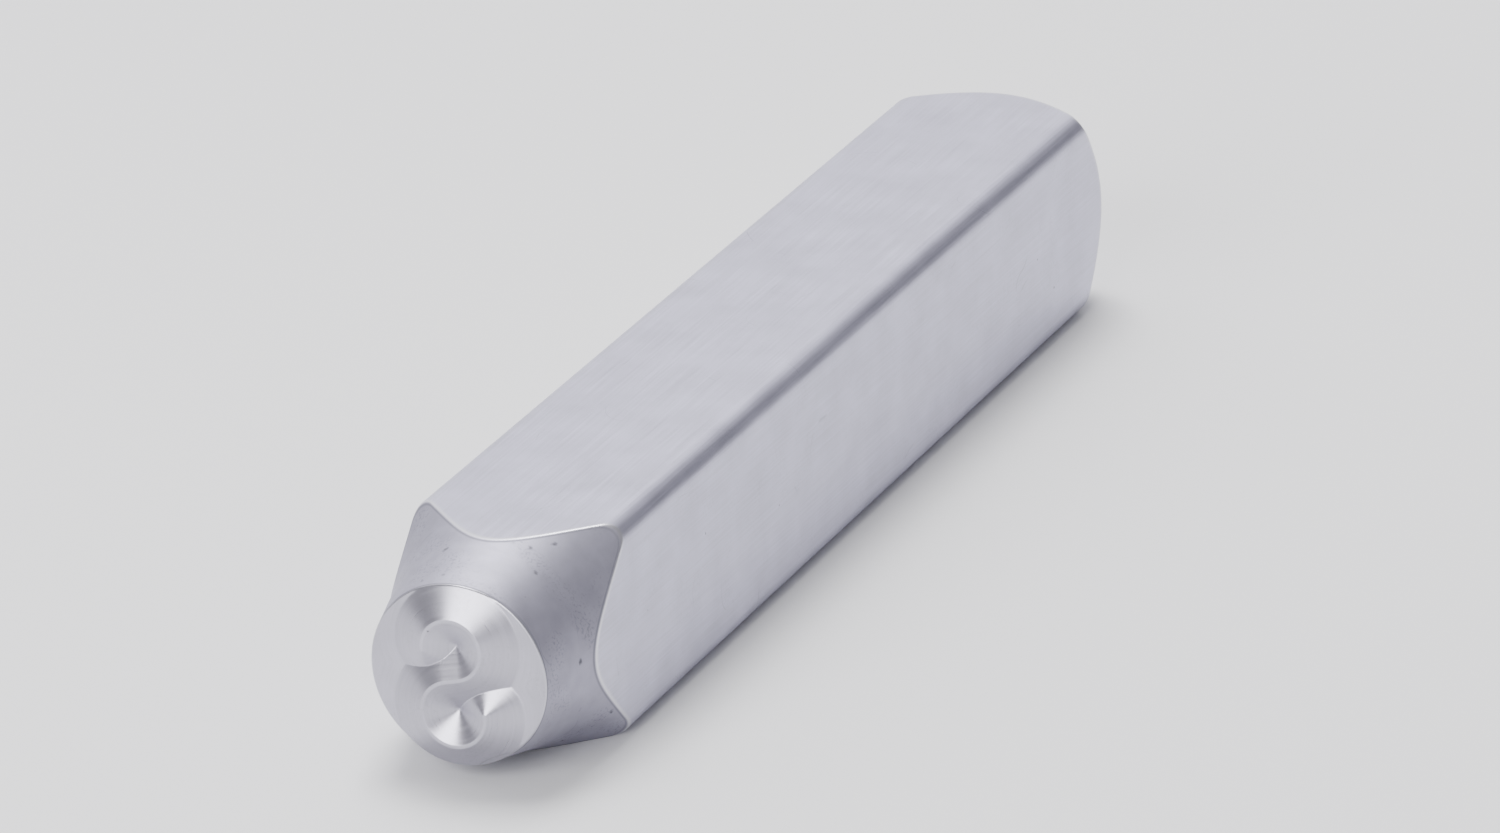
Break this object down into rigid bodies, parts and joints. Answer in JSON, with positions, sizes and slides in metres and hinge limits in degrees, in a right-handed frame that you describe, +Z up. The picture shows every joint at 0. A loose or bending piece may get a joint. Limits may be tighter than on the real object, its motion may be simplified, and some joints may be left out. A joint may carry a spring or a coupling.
{
  "type": "steel letter punch",
  "caption": "Square-shank steel hand punch with a turned, flaring neck and a mirrored letter in sharp relief on its round face; the other end is bevelled for the hammer.",
  "frame": {"origin": "centre of the punch's length and width, on the flat that it lies on", "axes": "+Z up from the flat that it lies on and towards the top of the letter, +Y along the shank from the letter to the struck head, +X across the shank"},
  "size_m": [0.01, 0.065, 0.01],
  "materials": {
    "tool_steel": "satin ground flats, matte turned neck, bright cut letter"
  },
  "bodies": {
    "root": {"letter_punch": "tool_steel"}
  },
  "joints": []
}
